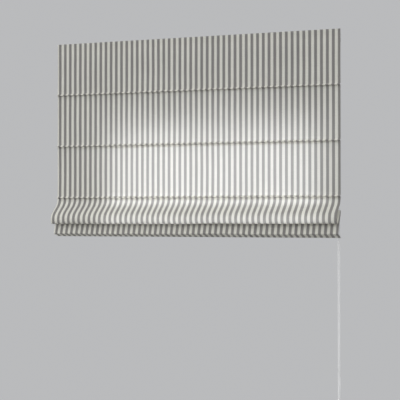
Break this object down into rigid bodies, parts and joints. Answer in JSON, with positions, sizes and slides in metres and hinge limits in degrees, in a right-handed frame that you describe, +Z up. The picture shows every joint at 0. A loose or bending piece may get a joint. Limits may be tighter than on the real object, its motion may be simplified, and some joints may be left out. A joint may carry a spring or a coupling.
{
  "type": "roman blind",
  "caption": "Face-fixed roman blind in striped woven fabric, partly raised: flat panels creased at hidden rods, soft folds at the foot, and a headrail with a bead chain drive.",
  "frame": {"origin": "on the wall, in the middle of the four bracket screw holes", "axes": "+X along the width to the right as seen from the room, +Y into the wall, +Z up"},
  "size_m": [1.3, 0.1144, 1.5481],
  "materials": {
    "striped_fabric": "yarn-dyed vertical stripe, unlined",
    "white_tape": "woven tape",
    "hook_loop": "hook and loop pile",
    "aluminium": "satin extrusion",
    "white_plastic": "moulded",
    "bracket_steel": "powder coat",
    "spring_steel": "drawn wire",
    "rod_glass_fibre": "pultruded rod",
    "ring_plastic": "clear moulded",
    "cord": "braided",
    "chain_plastic": "moulded beads"
  },
  "bodies": {
    "headrail_set": {"headrail": "aluminium", "end_cap": "white_plastic", "bracket_left": "bracket_steel", "bracket_right": "bracket_steel", "control_housing": "white_plastic", "control_cover": "white_plastic", "clutch_spring": "spring_steel", "spool_cradle_1": "white_plastic", "spool_cradle_2": "white_plastic", "spool_cradle_3": "white_plastic", "loop_strip": "hook_loop", "hook_strip": "hook_loop", "fabric": "striped_fabric", "lift_cord_1": "cord", "lift_cord_2": "cord", "lift_cord_3": "cord", "control_chain": "chain_plastic", "chain_connector": "ring_plastic"},
    "drive": {"chain_wheel": "white_plastic", "drive_shaft": "aluminium", "cord_spool_1": "white_plastic", "cord_spool_2": "white_plastic", "cord_spool_3": "white_plastic"},
    "rod_1_set": {"rod_1": "rod_glass_fibre", "pocket_tape_1": "white_tape", "cord_rings_1": "ring_plastic"},
    "rod_2_set": {"rod_2": "rod_glass_fibre", "pocket_tape_2": "white_tape", "cord_rings_2": "ring_plastic"},
    "bottom_stack": {"rod_3": "rod_glass_fibre", "pocket_tape_3": "white_tape", "cord_rings_3": "ring_plastic", "rod_4": "rod_glass_fibre", "pocket_tape_4": "white_tape", "cord_rings_4": "ring_plastic", "bottom_bar": "aluminium", "bar_cap_left": "white_plastic", "bar_cap_right": "white_plastic", "cord_stops": "white_plastic"}
  },
  "joints": [
    {"name": "lift", "type": "slide", "parent": "headrail_set", "child": "bottom_stack", "axis": [0, 0, 1], "range_m": [0, 0.4], "deforming": ["fabric", "lift_cord_1", "lift_cord_2", "lift_cord_3"]},
    {"name": "rod_1_rise", "type": "slide", "parent": "headrail_set", "child": "rod_1_set", "axis": [0, 0, 1], "range_m": [0, 0.105]},
    {"name": "rod_2_rise", "type": "slide", "parent": "headrail_set", "child": "rod_2_set", "axis": [0, 0, 1], "range_m": [0, 0.297]},
    {"name": "drive_turn", "type": "hinge", "parent": "headrail_set", "child": "drive", "pos_m": [0, -0.0235, 0.001], "axis": [-1, 0, 0], "range_deg": [0, 1700]}
  ],
  "couplings": [
    {"joint": "rod_1_rise", "follows": "lift", "ratio": 0.2593},
    {"joint": "rod_2_rise", "follows": "lift", "ratio": 0.7407},
    {"joint": "drive_turn", "follows": "lift", "rad_per_m": 74.074}
  ]
}
